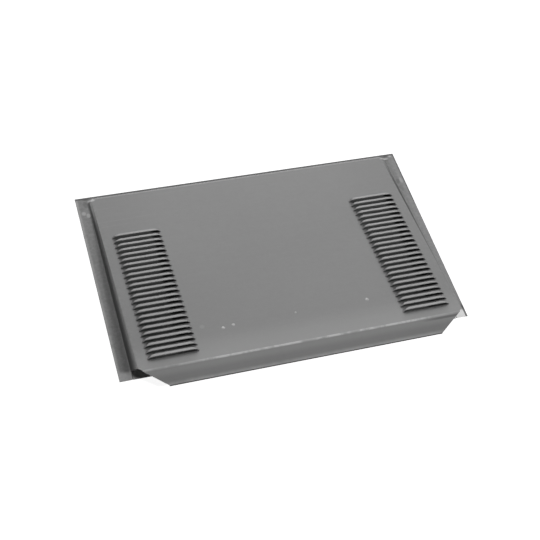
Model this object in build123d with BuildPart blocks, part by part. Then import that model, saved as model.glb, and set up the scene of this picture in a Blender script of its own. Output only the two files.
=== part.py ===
from build123d import *
from math import atan2, cos, degrees, radians, sin, tan
import os

# Slant back roof vent, pressed and folded from one steel sheet.
# Frame in millimetres: X across the roof, Y up the roof slope, Z off the roof.
# The origin is the middle of the vent's footprint, on the plane that lies on the roof.

# Sheet and nailing flange
sheet = 0.7
width = 610.0
depth = 381.0
side_flange = 22.2
back_flange = 5.0

# Raised hood
front_height = 44.5
back_height = 3.0
overhang = 13.0
wall_lean = 5.0
wall_setback = 15.0
corner_radius = 12.0
foot_bend = 3.5
plate_bend = 2.5

# Visor, bent down from the front of the plate
visor_length = 29.8
visor_drop = 30.0
visor_bend = 3.5
mitre_angle = 52.0
mitre_setback = 7.0
rim_depth = 3.0

# Louvres, lanced from the plate in two columns
louvre_rows = 24
louvre_pitch = 11.6
louvre_length = 86.0
louvre_run = 8.6
louvre_rise = 6.0
shoulder_run = 5.4
shoulder_rise = 5.1
lip_run = 1.0
end_stretch = 1.7
end_flats = 4
louvre_inset = 18.0
first_louvre = 19.5

# Places worked out from the sizes above
fold_lap = visor_bend / 2
visor_reach = overhang + visor_length * cos(radians(visor_drop))
front_edge = -(depth - visor_reach) / 2
back_edge = front_edge + depth
bend_line = front_edge - overhang
plate_back = back_edge - back_flange
plate_slope = degrees(atan2(front_height - back_height, plate_back - bend_line))
wall_foot = width / 2 - side_flange
plate_half = wall_foot - front_height * tan(radians(wall_lean))
bend_half = plate_half - (mitre_setback - fold_lap) * tan(radians(mitre_angle))
visor_half = bend_half - visor_length * tan(radians(mitre_angle))
louvre_column = plate_half - louvre_inset - louvre_length / 2
louvre_straight = louvre_length - 2 * louvre_run * end_stretch


def sloping_plane(angle):
    """Plane through the bend line that falls towards the front by the angle."""
    normal = (0, -sin(radians(angle)), cos(radians(angle)))
    return Plane(origin=(0, bend_line, front_height), x_dir=(1, 0, 0), z_dir=normal)


def inset_corner(point, slope_before, slope_after, inset):
    """Corner of a folded section, moved in square to both faces; slopes rise to the front."""
    middle = radians(slope_before + slope_after) / 2
    distance = inset / cos(radians(slope_before - slope_after) / 2)
    return (point[0] - distance * sin(middle), point[1] - distance * cos(middle))


def along(point, slope, distance):
    """Point that far up or down a slope in the section, back for a distance above zero."""
    return (point[0] + distance * cos(radians(slope)), point[1] + distance * sin(radians(slope)))


plate_plane = sloping_plane(-plate_slope)
visor_plane = sloping_plane(visor_drop)
bend_top = (bend_line, front_height)
bend_under = inset_corner(bend_top, plate_slope, -visor_drop, sheet)
rim_top = along(bend_top, visor_drop, -visor_length)
rim_bottom = (rim_top[0], rim_top[1] - rim_depth)
rim_inside = inset_corner(rim_top, -visor_drop, -90, sheet)


def pressed_form(inset):
    """Solid below the flange and the raised plate, with its faces moved in by the inset.

    Taking the inset form from the full one leaves the pressed sheet.
    """
    half = wall_foot - inset
    back = plate_back - inset
    front = bend_line - visor_length
    with BuildPart() as form:
        with BuildSketch():
            with BuildLine():
                Polyline((-half, front), (half, front), (half, back), (-half, back), close=True)
            make_face()
            fillet(vertices().group_by(Axis.Y)[-1], corner_radius - inset)
        extrude(amount=2 * front_height, taper=wall_lean)
        split(bisect_by=plate_plane.offset(-inset), keep=Keep.BOTTOM)
        plate_face = faces().sort_by(Axis(plate_plane.origin, plate_plane.z_dir))[-1]
        fillet(plate_face.edges(), plate_bend - inset)

        flange_top = sheet - inset
        with BuildSketch(Plane.XY.offset(flange_top)):
            with Locations((0, (front_edge + back_edge) / 2)):
                Rectangle(width, depth)
        extrude(amount=-sheet)
        foot_edges = (
            edges()
            .filter_by_position(Axis.Z, flange_top - 0.01, flange_top + 0.01)
            .filter_by_position(Axis.X, -wall_foot, wall_foot)
            .filter_by_position(Axis.Y, front_edge + 1, plate_back)
        )
        fillet(foot_edges, foot_bend + inset)
    return form.part


def louvre_outline(reach):
    """Corners of the louvre's plan at one height, with its rounded ends in flats."""
    turns = [radians(90 * flat / end_flats) for flat in range(end_flats + 1)]
    right_end = [
        (louvre_straight / 2 + end_stretch * reach * cos(turn), reach * sin(turn)) for turn in turns
    ]
    left_end = [(-x, y) for x, y in reversed(right_end)]
    return right_end + left_end


def louvre_form(inset, floor):
    """Solid under one louvre, which narrows in two slopes from the plate up to its lip."""
    back_slope = degrees(atan2(shoulder_rise, louvre_run - shoulder_run))
    top_slope = degrees(atan2(louvre_rise - shoulder_rise, shoulder_run - lip_run))
    foot = inset_corner((louvre_run, 0), 0, back_slope, inset)
    shoulder = inset_corner((shoulder_run, shoulder_rise), back_slope, top_slope, inset)
    lip = inset_corner((lip_run, louvre_rise), top_slope, 0, inset)
    with BuildPart() as form:
        with BuildSketch(Plane.XY.offset(floor)):
            Polygon(*louvre_outline(foot[0]), align=None)
        extrude(amount=foot[1] - floor)
        for below, above in ((foot, shoulder), (shoulder, lip)):
            with BuildSketch(Plane.XY.offset(below[1])):
                Polygon(*louvre_outline(below[0]), align=None)
            with BuildSketch(Plane.XY.offset(above[1])):
                Polygon(*louvre_outline(above[0]), align=None)
            loft(ruled=True)
    return form.part


with BuildPart() as vent_hood:
    # Flange and raised plate, pressed from one sheet
    add(pressed_form(0))
    add(pressed_form(sheet), mode=Mode.SUBTRACT)

    # Open front: the walls end on a slant and the plate ends at the bend
    side_end = bend_line + mitre_setback * cos(radians(plate_slope))
    side_end_under = front_height - mitre_setback * sin(radians(plate_slope)) - sheet
    beyond = bend_line - 2 * visor_length
    with BuildSketch(Plane.YZ):
        with BuildLine():
            Polyline(
                (front_edge + wall_setback, -sheet),
                (front_edge + wall_setback, sheet),
                (side_end, side_end_under),
                bend_under,
                bend_top,
                (bend_line, 2 * front_height),
                (beyond, 2 * front_height),
                (beyond, -sheet),
                close=True,
            )
        make_face()
    extrude(amount=wall_foot, both=True, mode=Mode.SUBTRACT)

    # Mitred corners, which run on from the visor's ends
    with BuildSketch(plate_plane):
        for side in (-1, 1):
            with BuildLine():
                Polyline(
                    (side * bend_half, -fold_lap),
                    (side * bend_half, fold_lap),
                    (side * plate_half, mitre_setback),
                    (side * wall_foot, mitre_setback),
                    (side * wall_foot, -fold_lap),
                    close=True,
                )
            make_face()
    extrude(amount=2 * sheet, both=True, mode=Mode.SUBTRACT)

    # Visor, folded down from the plate, with its front edge turned under
    with BuildSketch(plate_plane):
        with Locations((0, fold_lap / 2)):
            Rectangle(2 * bend_half, fold_lap)
    extrude(amount=2 * sheet, both=True, mode=Mode.SUBTRACT)
    with BuildSketch(Plane.YZ):
        with BuildLine():
            outside = FilletPolyline(
                along(bend_top, -plate_slope, fold_lap),
                bend_top,
                rim_top,
                rim_bottom,
                radius=visor_bend,
            )
            inside = FilletPolyline(
                along(bend_under, -plate_slope, fold_lap),
                bend_under,
                rim_inside,
                (rim_inside[0], rim_bottom[1]),
                radius=visor_bend - sheet,
            )
            Line(outside @ 0, inside @ 0)
            Line(outside @ 1, inside @ 1)
        make_face()
    extrude(amount=bend_half, both=True)
    with BuildSketch(visor_plane):
        for side in (-1, 1):
            with BuildLine():
                Polyline(
                    (side * bend_half, 0),
                    (side * visor_half, -visor_length),
                    (side * visor_half, -2 * visor_length),
                    (side * bend_half, -2 * visor_length),
                    close=True,
                )
            make_face()
    extrude(amount=2 * rim_depth, both=True, mode=Mode.SUBTRACT)

    # Rims turned down along the visor's ends
    rim_width = sheet / cos(radians(mitre_angle))
    rim_end = visor_length - visor_bend
    rim_end_half = bend_half - rim_end * tan(radians(mitre_angle))
    rim_start_half = bend_half - fold_lap * tan(radians(mitre_angle))
    with BuildSketch(visor_plane):
        for side in (-1, 1):
            with BuildLine():
                Polyline(
                    (side * rim_start_half, -fold_lap),
                    (side * rim_end_half, -rim_end),
                    (side * (rim_end_half - rim_width), -rim_end),
                    (side * (rim_start_half - rim_width), -fold_lap),
                    close=True,
                )
            make_face()
    extrude(amount=-rim_depth)

    # Louvres, open towards the front
    louvre_middle = first_louvre + louvre_pitch * (louvre_rows - 1) / 2
    with Locations(plate_plane.location * Location((0, louvre_middle, 0))):
        with GridLocations(2 * louvre_column, louvre_pitch, 2, louvre_rows):
            add(louvre_form(0, -sheet / 2))
        with GridLocations(2 * louvre_column, louvre_pitch, 2, louvre_rows):
            add(louvre_form(sheet, -2 * sheet), mode=Mode.SUBTRACT)

vent_hood.part.label = "vent_hood"
os.makedirs("parts", exist_ok=True)
export_step(vent_hood.part, "parts/vent_hood.step")
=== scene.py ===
import math

import bmesh
import bpy
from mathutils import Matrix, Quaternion, Vector


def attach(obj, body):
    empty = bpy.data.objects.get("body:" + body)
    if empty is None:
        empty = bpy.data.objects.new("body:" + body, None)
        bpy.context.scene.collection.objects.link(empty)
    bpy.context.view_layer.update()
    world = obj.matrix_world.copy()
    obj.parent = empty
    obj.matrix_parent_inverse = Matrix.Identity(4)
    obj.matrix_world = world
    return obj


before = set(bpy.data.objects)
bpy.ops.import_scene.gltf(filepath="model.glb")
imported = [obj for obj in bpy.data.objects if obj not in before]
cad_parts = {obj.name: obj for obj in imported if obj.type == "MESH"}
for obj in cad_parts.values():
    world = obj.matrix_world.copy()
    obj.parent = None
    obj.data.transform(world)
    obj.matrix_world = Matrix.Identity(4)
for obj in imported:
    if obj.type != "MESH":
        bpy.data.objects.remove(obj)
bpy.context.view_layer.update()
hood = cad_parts["vent_hood"]
scene = bpy.context.scene

# Sizes of the vent, in metres: X across the roof, Y up the roof slope, Z off the roof
BEND_Y = -0.18410
BEND_Z = 0.0445
PLATE_SLOPE = math.radians(6.10)
FRONT_EDGE = -0.17110
BACK_EDGE = 0.20990
RIM_Y = -0.20990
RIM_TOP_Z = 0.0296
HALF_WIDTH = 0.305
FOOT_X = 0.2828
FOOT_BACK = 0.2049
FOOT_CORNER = 0.012

# Dark patch of floor below the hood, painted shade for the hood's inside
SHADE_PATCH_HALF_X = 0.2826
SHADE_PATCH_HALF_Y = 0.1878
SHADE_PATCH_MIDDLE_Y = 0.0167

# Camera
CAMERA_AT = Vector((-0.50615, -1.03639, 1.53309))
CAMERA_LOOK = Vector((0.26156, 0.53789, -0.80141))
CAMERA_ROLL = math.radians(11.68)
CAMERA_LENS = 73.46
CAMERA_SENSOR = 36.0
CAMERA_NEAR = 0.05
CAMERA_FAR = 60.0

# Greys of the sheet, among them greys of painted highlights and painted shade
COAT = 0.27
SCUFFED_COAT = 0.295
# Painted highlight grey, on bends, louvre crests, the visor, its hem, a strip behind the foot and
# the flange margins
PAINTED_HIGHLIGHT = 0.72
# Painted highlight grey on the flange's front ends
END_HIGHLIGHT = 0.95
# Painted shade grey in the crease around the foot, on the left flange and on the flange's edges
PAINTED_SHADE = 0.05
# Painted shadow grey below the right end of the visor's bend
BEND_SHADOW = 0.04
# Painted shade grey on the lower side walls
WALL_SHADE = 0.03
# Painted shade grey on the visor's rim
RIM_SHADE = 0.02
SHEET_METALLIC = 0.30

# Small marks on the sheet, the first four a painted highlight and a painted shadow at each of the
# hood's back corners, the rest dents and smudges: x, y, half length, half width, grey, strength
MARKS = (
    (0.2828, 0.1990, 0.0085, 0.0022, 0.80, 0.55),
    (-0.2775, 0.2000, 0.0065, 0.0030, 0.80, 0.55),
    (0.2880, 0.2048, 0.0045, 0.0016, 0.04, 0.70),
    (-0.2860, 0.2055, 0.0060, 0.0022, 0.04, 0.55),
    (0.2971, 0.2040, 0.0030, 0.0022, 0.80, 0.40),
    (-0.2950, 0.1748, 0.0038, 0.0042, 0.75, 0.32),
    (-0.2881, 0.1693, 0.0034, 0.0050, 0.75, 0.32),
    (-0.2890, 0.1945, 0.0040, 0.0080, 0.05, 0.35),
    (0.2913, 0.1424, 0.0035, 0.0060, 0.05, 0.40),
    (0.2927, 0.1254, 0.0035, 0.0080, 0.05, 0.22),
    (0.2979, 0.1436, 0.0032, 0.0070, 0.75, 0.28),
    (-0.1594, -0.1195, 0.0042, 0.0042, 0.60, 0.12),
)

# Weld marks on the plate: x, distance behind the flange's front edge, radius
WELD_MARKS = (
    (-0.1265, 0.0417, 0.0031),
    (-0.1087, 0.0443, 0.0029),
    (-0.0010, 0.0466, 0.0019),
    (0.1264, 0.0468, 0.0032),
)
WELD_HEIGHT = 0.0006
WELD_STEPS = 20
# Rings of a weld mark from its edge inwards: share of the radius, share of the height
WELD_RINGS = ((1.0, -0.3), (0.92, 0.10), (0.78, 0.32), (0.60, 0.62), (0.38, 0.88), (0.18, 0.98))
WELD_METALLIC = 0.45

# Floor, lamps and sky
FLOOR_HALF = 12
FLOOR_Z = -0.0002
FLOOR_GLOW = 0.90
KEY_FROM = Vector((0.32, -0.56, 0.77))
KEY_DISTANCE = 3.2
KEY_SIZE = (0.3, 0.3)
KEY_POWER = 25.5
SOFTBOX_AT = (0.7, 2.6, 2.3)
SOFTBOX_SIZE = (5.0, 2.6)
SOFTBOX_POWER = 29
LOW_LAMP_AT = (0.9, 3.6, 0.7)
LOW_LAMP_SIZE = (3.0, 0.8)
LOW_LAMP_POWER = 29
SKY_ON_OBJECT = 0.015


def aim(looking, roll=0.0):
    """Rotation that points an object's own -Z along a direction."""
    return looking.to_track_quat("-Z", "Y") @ Quaternion((0, 0, 1), roll)


def grey(value):
    return (value, value, value, 1.0)


def mesh_object(name, mesh):
    """Adds an object made from a bmesh to the scene, and frees the bmesh."""
    data = bpy.data.meshes.new(name)
    mesh.to_mesh(data)
    mesh.free()
    thing = bpy.data.objects.new(name, data)
    scene.collection.objects.link(thing)
    return thing


camera_data = bpy.data.cameras.new("camera")
camera_data.lens = CAMERA_LENS
camera_data.sensor_width = CAMERA_SENSOR
camera_data.clip_start = CAMERA_NEAR
camera_data.clip_end = CAMERA_FAR
camera = bpy.data.objects.new("camera", camera_data)
camera.rotation_mode = "QUATERNION"
camera.location = CAMERA_AT
camera.rotation_quaternion = aim(CAMERA_LOOK, CAMERA_ROLL)
scene.collection.objects.link(camera)
scene.camera = camera


class Nodes:
    """Adds and links shader nodes in one node tree."""

    def __init__(self, tree):
        self.tree = tree

    def add(self, kind, **settings):
        node = self.tree.nodes.new(kind)
        for key, value in settings.items():
            setattr(node, key, value)
        return node

    def put(self, value, socket):
        """Sets a socket to a number or colour, or links another socket to it."""
        if isinstance(value, bpy.types.NodeSocket):
            self.tree.links.new(value, socket)
        else:
            socket.default_value = value

    def math(self, operation, first, second=0.0, third=0.0):
        node = self.add("ShaderNodeMath", operation=operation)
        for socket, value in zip(node.inputs, (first, second, third)):
            self.put(value, socket)
        return node.outputs[0]

    def times(self, *values):
        """Product of two or more values."""
        product = values[0]
        for value in values[1:]:
            product = self.math("MULTIPLY", product, value)
        return product

    def without(self, value):
        """One less the value."""
        return self.math("SUBTRACT", 1.0, value)

    def centred(self, value):
        """Noise moved to lie about zero."""
        return self.math("SUBTRACT", value, 0.5)

    def ramp(self, value, low, high, from_low=0.0, from_high=1.0):
        """Maps a value smoothly from one range to another, held at both ends."""
        node = self.add("ShaderNodeMapRange", interpolation_type="SMOOTHSTEP")
        for socket, item in zip(node.inputs, (value, from_low, from_high, low, high)):
            self.put(item, socket)
        return node.outputs[0]

    def rise(self, value, start, end):
        """Goes smoothly from 0 to 1 while the value goes from start to end."""
        return self.ramp(value, 0.0, 1.0, start, end)

    def fall(self, value, start, end):
        """Goes smoothly from 1 to 0 while the value goes from start to end."""
        return self.ramp(value, 1.0, 0.0, start, end)

    def noise(self, vector, scale, detail=4.0, roughness=0.55, distortion=0.0):
        node = self.add("ShaderNodeTexNoise")
        self.put(vector, node.inputs["Vector"])
        node.inputs["Scale"].default_value = scale
        node.inputs["Detail"].default_value = detail
        node.inputs["Roughness"].default_value = roughness
        node.inputs["Distortion"].default_value = distortion
        return node.outputs[0]

    def stretch(self, vector, amount, turn=0.0):
        node = self.add("ShaderNodeMapping")
        self.put(vector, node.inputs["Vector"])
        node.inputs["Scale"].default_value = amount
        node.inputs["Rotation"].default_value = (0.0, 0.0, turn)
        return node.outputs[0]

    def split(self, vector):
        node = self.add("ShaderNodeSeparateXYZ")
        self.put(vector, node.inputs[0])
        return node.outputs

    def mix(self, factor, first, second):
        node = self.add("ShaderNodeMix", data_type="RGBA")
        self.put(factor, node.inputs[0])
        self.put(first, node.inputs[6])
        self.put(second, node.inputs[7])
        return node.outputs[2]

    def object_place(self):
        return self.add("ShaderNodeTexCoord").outputs["Object"]

    def seeing_rays(self):
        """1 for the rays that show the pale surroundings: camera, glossy and transmission."""
        path = self.add("ShaderNodeLightPath").outputs
        seeing = self.math("MAXIMUM", path["Is Camera Ray"], path["Is Glossy Ray"])
        return self.math("MAXIMUM", seeing, path["Is Transmission Ray"])

    def surface(self, shader):
        """Links a shader to the material's output."""
        self.put(shader, self.add("ShaderNodeOutputMaterial").inputs[0])


def new_material(name):
    """Empty node material, and the helper that fills it."""
    material = bpy.data.materials.new(name)
    material.use_nodes = True
    material.node_tree.nodes.clear()
    return material, Nodes(material.node_tree)


class SheetFinish:
    """Dull grey coated sheet, whose layers lie at places on the vent; many of them are painted
    highlights and painted shade.
    """

    def __init__(self, name):
        self.material, self.n = new_material(name)
        n = self.n
        self.place = n.object_place()
        self.x, self.y, self.z = n.split(self.place)
        self.side = n.math("ABSOLUTE", self.x)
        self.right = n.rise(self.x, -0.1, 0.1)
        self.left = n.without(self.right)
        self.from_bend = n.math("SUBTRACT", self.y, BEND_Y)
        self.from_foot = self.distance_from_foot()
        self.past_foot = n.rise(self.from_foot, -0.0012, 0.0002)
        self.clouds = n.noise(self.place, 5.0, 2.0)
        self.mottle = n.noise(self.place, 46.0, 5.0, 0.62, 0.4)
        self.grain = n.noise(self.place, 900.0, 2.0)
        self.scuffs = self.thin_scuffs()
        self.front_end = n.times(
            n.fall(self.y, FRONT_EDGE + 0.012, FRONT_EDGE + 0.019),
            n.rise(self.side, FOOT_X, FOOT_X + 0.002),
            n.fall(self.z, 0.002, 0.004),
        )
        self.not_front_end = n.without(self.front_end)
        self.colour = self.coat()

    def tint(self, amount, tone):
        """Covers the colour with a grey, by an amount from 0 to 1."""
        self.colour = self.n.mix(amount, self.colour, grey(tone))

    def patchy(self, least, start, end):
        """Breaks a layer up with the coat's mottling, down to the least share."""
        return self.n.ramp(self.mottle, least, 1.0, start, end)

    def distance_from_foot(self):
        """Distance outside the hood's foot, which has rounded back corners."""
        n = self.n
        past_side = n.math("SUBTRACT", self.side, FOOT_X - FOOT_CORNER)
        past_back = n.math("SUBTRACT", self.y, FOOT_BACK - FOOT_CORNER)
        squares = [
            n.math("POWER", n.math("MAXIMUM", past, 0.0), 2.0) for past in (past_side, past_back)
        ]
        outside = n.math("SQRT", n.math("ADD", *squares))
        within = n.math("MINIMUM", n.math("MAXIMUM", past_side, past_back), 0.0)
        return n.math("SUBTRACT", n.math("ADD", outside, within), FOOT_CORNER)

    def thin_scuffs(self):
        """Thin scuffs in two directions, in patches."""
        n = self.n
        scuffs = []
        for turn, limit in ((0.35, 0.69), (-0.9, 0.71)):
            lines = n.noise(n.stretch(self.place, (7.0, 260.0, 60.0), turn), 1.0, 2.0, 0.5)
            scuffs.append(n.rise(lines, limit, limit + 0.05))
        return n.times(n.math("MAXIMUM", *scuffs), n.ramp(self.clouds, 0.0, 0.5, 0.42, 0.62))

    def coat(self):
        """Coat with broad tone changes, mottling, grain, rolling lines and blotchy margins."""
        n = self.n
        rolling = n.noise(n.stretch(self.place, (3.0, 220.0, 30.0)), 1.0, 3.0)
        tone = 1.0
        for variation, amount in (
            (self.clouds, 0.10),
            (self.mottle, 0.16),
            (self.grain, 0.10),
            (rolling, 0.04),
        ):
            tone = n.math("MULTIPLY_ADD", n.centred(variation), amount, tone)
        # Painted shade: the coat is darker towards the left and right ends
        darker_left = n.ramp(self.x, 0.91, 1.0, -0.27, -0.13)
        darker_right = n.ramp(self.x, 1.0, 0.94, 0.15, 0.24)
        tone = n.times(tone, darker_left, darker_right)
        blotches = n.centred(n.noise(self.place, 170.0, 3.0, 0.6))
        on_margin = n.ramp(self.side, 0.10, 1.0, FOOT_X - 0.016, FOOT_X)
        tone = n.math("MULTIPLY_ADD", n.times(blotches, on_margin), 0.60, tone)

        shade = n.add("ShaderNodeVectorMath", operation="SCALE")
        n.put(n.mix(self.scuffs, grey(COAT), grey(SCUFFED_COAT)), shade.inputs[0])
        n.put(tone, shade.inputs["Scale"])
        return shade.outputs[0]

    def end_highlights(self):
        """Painted highlight on the flange's front ends, brighter on the right."""
        n = self.n
        share = n.math("MULTIPLY_ADD", self.right, 0.75, 0.25)
        self.tint(n.times(self.front_end, share), END_HIGHLIGHT)

    def bend_highlight(self):
        """Painted highlight along the visor's bend that fades at both ends, and a painted
        reflection as a paler band on the plate behind it.
        """
        n = self.n
        from_line = n.math("ABSOLUTE", n.math("ADD", self.from_bend, 0.0002))
        bend = n.times(
            n.fall(from_line, 0.0006, 0.0026),
            n.rise(self.z, BEND_Z - 0.0045, BEND_Z - 0.0035),
            self.patchy(0.35, 0.35, 0.62),
            n.ramp(self.x, 0.45, 1.0, -0.21, -0.12),
            n.ramp(self.x, 1.0, 0.40, 0.19, 0.225),
        )
        near_top = n.rise(self.z, BEND_Z - 0.0090, BEND_Z - 0.0035)
        band = n.times(n.fall(self.from_bend, 0.004, 0.060), near_top)
        self.tint(n.math("ADD", n.times(bend, 0.95), n.times(band, 0.15)), PAINTED_HIGHLIGHT)

    def louvre_crest_highlights(self):
        """Painted highlight on the crests of the louvres, a little paler than the plate."""
        n = self.n
        plate_z = n.math("MULTIPLY_ADD", self.from_bend, -math.tan(PLATE_SLOPE), BEND_Z)
        above_plate = n.math("SUBTRACT", self.z, plate_z)
        crest = n.times(n.rise(above_plate, 0.0030, 0.0052), self.patchy(0.6, 0.3, 0.6))
        self.tint(n.times(crest, 0.13), PAINTED_HIGHLIGHT)

    def visor(self):
        """Visor painted a little paler as painted light, with a painted shadow as a dark streak
        below the bend's right end.
        """
        n = self.n
        face = n.fall(self.from_bend, -0.0045, -0.0025)
        self.tint(n.times(face, 0.03), PAINTED_HIGHLIGHT)
        streak = n.times(
            n.rise(self.from_bend, -0.0064, -0.0050),
            n.fall(self.from_bend, -0.0034, -0.0018),
            n.rise(self.x, 0.195, 0.235),
        )
        self.tint(n.times(streak, 0.42), BEND_SHADOW)

    def visor_rim(self):
        """Painted highlight along the bend of the visor's lower edge, and painted shade on its
        rim below.
        """
        n = self.n
        hem = n.times(
            n.fall(self.z, RIM_TOP_Z - 0.0005, RIM_TOP_Z + 0.0035),
            n.fall(self.y, RIM_Y + 0.006, RIM_Y + 0.008),
            self.patchy(0.5, 0.3, 0.6),
        )
        self.tint(n.times(hem, 0.55), PAINTED_HIGHLIGHT)
        rim = n.times(
            n.fall(self.y, RIM_Y + 0.0005, RIM_Y + 0.0011),
            n.fall(self.z, RIM_TOP_Z - 0.0006, RIM_TOP_Z + 0.0002),
        )
        self.tint(n.times(rim, 0.95), RIM_SHADE)

    def foot_crease(self):
        """Painted shade in the crease around the foot, wider on the right."""
        n = self.n
        width = n.math("MULTIPLY_ADD", self.right, 0.0050, 0.0035)
        crease = n.times(
            n.fall(n.math("DIVIDE", self.from_foot, width), 0.70, 1.10),
            self.past_foot,
            self.not_front_end,
            self.patchy(0.6, 0.35, 0.6),
        )
        left_share = n.times(n.rise(self.y, 0.10, 0.16), 0.50, self.left)
        share = n.math("MULTIPLY_ADD", self.right, 0.24, left_share)
        patches = n.ramp(n.noise(self.place, 60.0, 3.0), 0.35, 1.0, 0.38, 0.58)
        self.tint(n.times(crease, share, patches), PAINTED_SHADE)

    def left_flange_shade(self):
        """Painted shade on the inner half of the left flange, next to the foot."""
        n = self.n
        inner = n.times(
            n.fall(self.from_foot, 0.006, 0.016),
            self.past_foot,
            n.times(self.left, n.fall(self.y, 0.04, 0.15)),
            self.not_front_end,
        )
        self.tint(n.times(inner, 0.26), PAINTED_SHADE)

    def side_walls(self):
        """Painted shade on the lower part of the side walls."""
        n = self.n
        low = n.times(
            n.rise(self.from_foot, -0.0060, -0.0048),
            n.fall(self.from_foot, -0.0005, 0.0015),
            n.fall(self.z, 0.014, 0.042),
            n.fall(self.y, 0.12, 0.22),
        )
        self.tint(n.times(low, 0.90), WALL_SHADE)

    def flange_margins(self):
        """Paler outer margins of the side flanges, a painted highlight."""
        n = self.n
        left = n.times(n.fall(self.x, -0.3032, -0.2990), 0.38)
        right = n.times(n.rise(self.x, 0.2930, 0.2975), 0.09)
        both = n.math("ADD", left, right)
        self.tint(n.times(both, self.not_front_end, self.patchy(0.5, 0.35, 0.6)), PAINTED_HIGHLIGHT)

    def flange_edges(self):
        """Painted highlight on a strip behind the foot, and painted shade on the flange's back
        edge and right edge.
        """
        n = self.n
        back_line = n.rise(self.y, BACK_EDGE - 0.0046, BACK_EDGE - 0.0036)
        behind_foot = n.times(
            n.rise(self.y, BACK_EDGE - 0.0100, BACK_EDGE - 0.0080),
            n.without(back_line),
            n.fall(self.side, FOOT_X - 0.014, FOOT_X - 0.004),
        )
        self.tint(n.times(behind_foot, 0.16), PAINTED_HIGHLIGHT)

        right_line = n.rise(self.x, HALF_WIDTH - 0.0030, HALF_WIDTH - 0.0020)
        right_parts = n.math(
            "MAXIMUM", n.rise(self.y, 0.075, 0.105), n.fall(self.y, -0.150, -0.135)
        )
        tip_line = n.times(
            n.rise(self.x, HALF_WIDTH - 0.0045, HALF_WIDTH - 0.0030),
            n.fall(self.y, -0.150, -0.140),
        )
        edge_shade = n.math("MAXIMUM", back_line, n.times(right_line, right_parts))
        edge_shade = n.math("MAXIMUM", edge_shade, n.times(tip_line, 1.4))
        self.tint(n.times(edge_shade, 0.6), PAINTED_SHADE)

    def small_marks(self):
        """Painted highlights and shadows at the hood's back corners, dents and smudges, on faces
        that look up.
        """
        n = self.n
        facing = n.split(n.add("ShaderNodeNewGeometry").outputs["Normal"])
        top_side = n.rise(facing[2], 0.0, 0.2)
        for mark_x, mark_y, half_length, half_width, tone, strength in MARKS:
            spans = (self.x, mark_x, half_length), (self.y, mark_y, half_width)
            along, across = (
                n.math("POWER", n.math("DIVIDE", n.math("SUBTRACT", at, middle), half), 2.0)
                for at, middle, half in spans
            )
            mark = n.ramp(n.math("ADD", along, across), strength, 0.0, 0.15, 1.6)
            self.tint(n.times(mark, top_side), tone)

    def roughness(self):
        """Roughness that follows the mottling, less on scuffs."""
        n = self.n
        rough = n.math("MULTIPLY_ADD", n.centred(self.mottle), 0.22, 0.46)
        return n.math("MULTIPLY_ADD", self.scuffs, -0.12, rough)

    def relief(self):
        """Fine orange peel of the coat and slight waves of thin sheet."""
        n = self.n
        height = n.math("MULTIPLY_ADD", self.grain, 0.12, n.times(self.mottle, 0.5))
        height = n.math("MULTIPLY_ADD", self.clouds, 1.0, height)
        bump = n.add("ShaderNodeBump")
        bump.inputs["Strength"].default_value = 0.25
        bump.inputs["Distance"].default_value = 0.0004
        n.put(height, bump.inputs["Height"])
        return bump.outputs[0]

    def finish(self):
        """Lays the layers in order, links the shader and gives the material."""
        self.end_highlights()
        self.bend_highlight()
        self.louvre_crest_highlights()
        self.visor()
        self.visor_rim()
        self.foot_crease()
        self.left_flange_shade()
        self.side_walls()
        self.flange_margins()
        self.flange_edges()
        self.small_marks()
        n = self.n
        shader = n.add("ShaderNodeBsdfPrincipled")
        n.put(self.colour, shader.inputs["Base Color"])
        n.put(self.roughness(), shader.inputs["Roughness"])
        shader.inputs["Metallic"].default_value = SHEET_METALLIC
        n.put(self.relief(), shader.inputs["Normal"])
        n.surface(shader.outputs[0])
        return self.material


sheet = SheetFinish("galvanised_sheet_dull").finish()
for slot in hood.material_slots:
    slot.material = sheet


# Weld marks on the plate: low domes whose edge is sunk into it
def plate_point(x, from_bend):
    """Place on the plate's top, that far up the plate from the bend."""
    return Vector((
        x,
        BEND_Y + from_bend * math.cos(PLATE_SLOPE),
        BEND_Z - from_bend * math.sin(PLATE_SLOPE),
    ))


def weld_mark(mesh, centre, normal, radius):
    """Adds one low dome with a slightly wavy edge, made of rings, at a place on a face."""
    turn = normal.to_track_quat("Z", "Y").to_matrix()
    rings = []
    for share, level in WELD_RINGS:
        ring = []
        for step in range(WELD_STEPS):
            angle = 2 * math.pi * step / WELD_STEPS
            wobble = 1.0 + 0.05 * math.sin(3 * angle + centre.x * 900)
            local = Vector((
                radius * share * wobble * math.cos(angle),
                radius * share * wobble * math.sin(angle),
                WELD_HEIGHT * level,
            ))
            ring.append(mesh.verts.new(centre + turn @ local))
        rings.append(ring)
    for outer, inner in zip(rings, rings[1:]):
        for step in range(WELD_STEPS):
            after = (step + 1) % WELD_STEPS
            mesh.faces.new((outer[step], outer[after], inner[after], inner[step]))
    top = mesh.verts.new(centre + turn @ Vector((0, 0, WELD_HEIGHT)))
    last = rings[-1]
    for step in range(WELD_STEPS):
        mesh.faces.new((last[step], last[(step + 1) % WELD_STEPS], top))


def weld_metal():
    """Metal of a weld mark: a little brighter and smoother than the sheet around it."""
    material, n = new_material("weld_mark_metal")
    spots = n.noise(n.object_place(), 700.0, 3.0)
    shader = n.add("ShaderNodeBsdfPrincipled")
    n.put(n.mix(spots, grey(0.34), grey(0.52)), shader.inputs["Base Color"])
    n.put(n.ramp(spots, 0.30, 0.45), shader.inputs["Roughness"])
    shader.inputs["Metallic"].default_value = WELD_METALLIC
    n.surface(shader.outputs[0])
    return material


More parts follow.
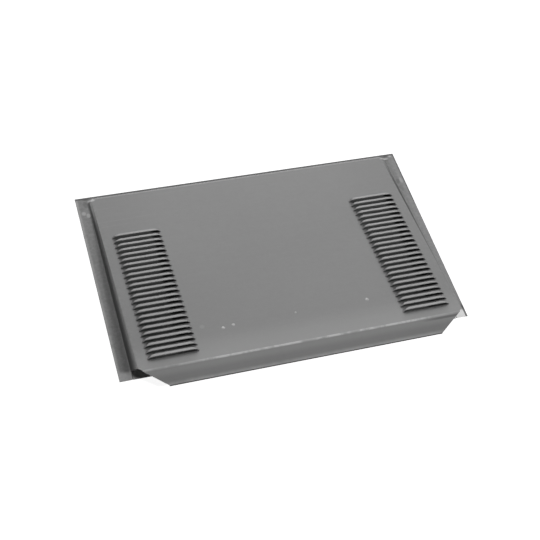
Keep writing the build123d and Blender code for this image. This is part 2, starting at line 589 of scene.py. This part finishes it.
up_from_plate = Vector((0, math.sin(PLATE_SLOPE), math.cos(PLATE_SLOPE)))
marks_mesh = bmesh.new()
for x, from_edge, radius in WELD_MARKS:
    from_bend = (FRONT_EDGE + from_edge - BEND_Y) / math.cos(PLATE_SLOPE)
    weld_mark(marks_mesh, plate_point(x, from_bend), up_from_plate, radius)
weld_marks = mesh_object("weld_marks", marks_mesh)
for face in weld_marks.data.polygons:
    face.use_smooth = True
weld_marks.data.materials.append(weld_metal())
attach(weld_marks, "root")


def floor_paint():
    """Floor that looks near white and keeps shadows, with a dark patch below the hood as painted
    shade for its inside, painted lighter towards the hood's mouth.

    The light that it casts is that of a dark floor, so the vent's underside stays dull.
    """
    material, n = new_material("pale_floor")
    place = n.object_place()
    x, y, _ = n.split(place)
    in_width = n.math("LESS_THAN", n.math("ABSOLUTE", x), SHADE_PATCH_HALF_X)
    from_middle = n.math("ABSOLUTE", n.math("SUBTRACT", y, SHADE_PATCH_MIDDLE_Y))
    # Painted shade: dark patch of floor below the hood
    shade_patch = n.times(in_width, n.math("LESS_THAN", from_middle, SHADE_PATCH_HALF_Y))
    near_mouth = n.fall(y, FRONT_EDGE + 0.012, FRONT_EDGE + 0.050)
    seen = n.times(n.seeing_rays(), n.without(shade_patch))

    # Painted light: the patch is lighter towards the hood's mouth
    in_shade_patch = n.mix(near_mouth, grey(0.21), grey(0.80))
    unseen = n.mix(shade_patch, grey(0.10), in_shade_patch)
    pale = n.mix(n.noise(place, 8.0), grey(0.91), grey(0.94))
    matt = n.add("ShaderNodeBsdfDiffuse")
    n.put(n.mix(seen, unseen, pale), matt.inputs["Color"])
    glow = n.add("ShaderNodeEmission")
    n.put(n.times(seen, FLOOR_GLOW), glow.inputs["Strength"])
    both = n.add("ShaderNodeAddShader")
    n.put(matt.outputs[0], both.inputs[0])
    n.put(glow.outputs[0], both.inputs[1])
    n.surface(both.outputs[0])
    return material


floor_mesh = bmesh.new()
floor_mesh.faces.new([
    floor_mesh.verts.new((sx * FLOOR_HALF, sy * FLOOR_HALF, FLOOR_Z))
    for sx, sy in ((-1, -1), (1, -1), (1, 1), (-1, 1))
])
floor = mesh_object("floor", floor_mesh)
floor.data.materials.append(floor_paint())


def area_light(name, at, size, power):
    """Adds a rectangular lamp that points at the vent's origin."""
    data = bpy.data.lights.new(name, "AREA")
    data.shape = "RECTANGLE"
    data.size, data.size_y = size
    data.energy = power
    light = bpy.data.objects.new(name, data)
    light.location = at
    light.rotation_mode = "QUATERNION"
    light.rotation_quaternion = aim(-Vector(at))
    scene.collection.objects.link(light)
    return light


key = area_light("key", KEY_FROM * KEY_DISTANCE, KEY_SIZE, KEY_POWER)
key.visible_glossy = False
area_light("back_softbox", SOFTBOX_AT, SOFTBOX_SIZE, SOFTBOX_POWER)
area_light("back_low", LOW_LAMP_AT, LOW_LAMP_SIZE, LOW_LAMP_POWER)

# White sky for the rays that see it, which lights the vent only faintly
world = bpy.data.worlds.new("studio")
world.use_nodes = True
sky = world.node_tree.nodes["Background"]
sky.inputs["Color"].default_value = (1, 1, 1, 1)
sky_nodes = Nodes(world.node_tree)
sky_strength = sky_nodes.ramp(sky_nodes.seeing_rays(), SKY_ON_OBJECT, 1.0)
sky_nodes.put(sky_strength, sky.inputs["Strength"])
scene.world = world

scene.view_settings.view_transform = "Standard"
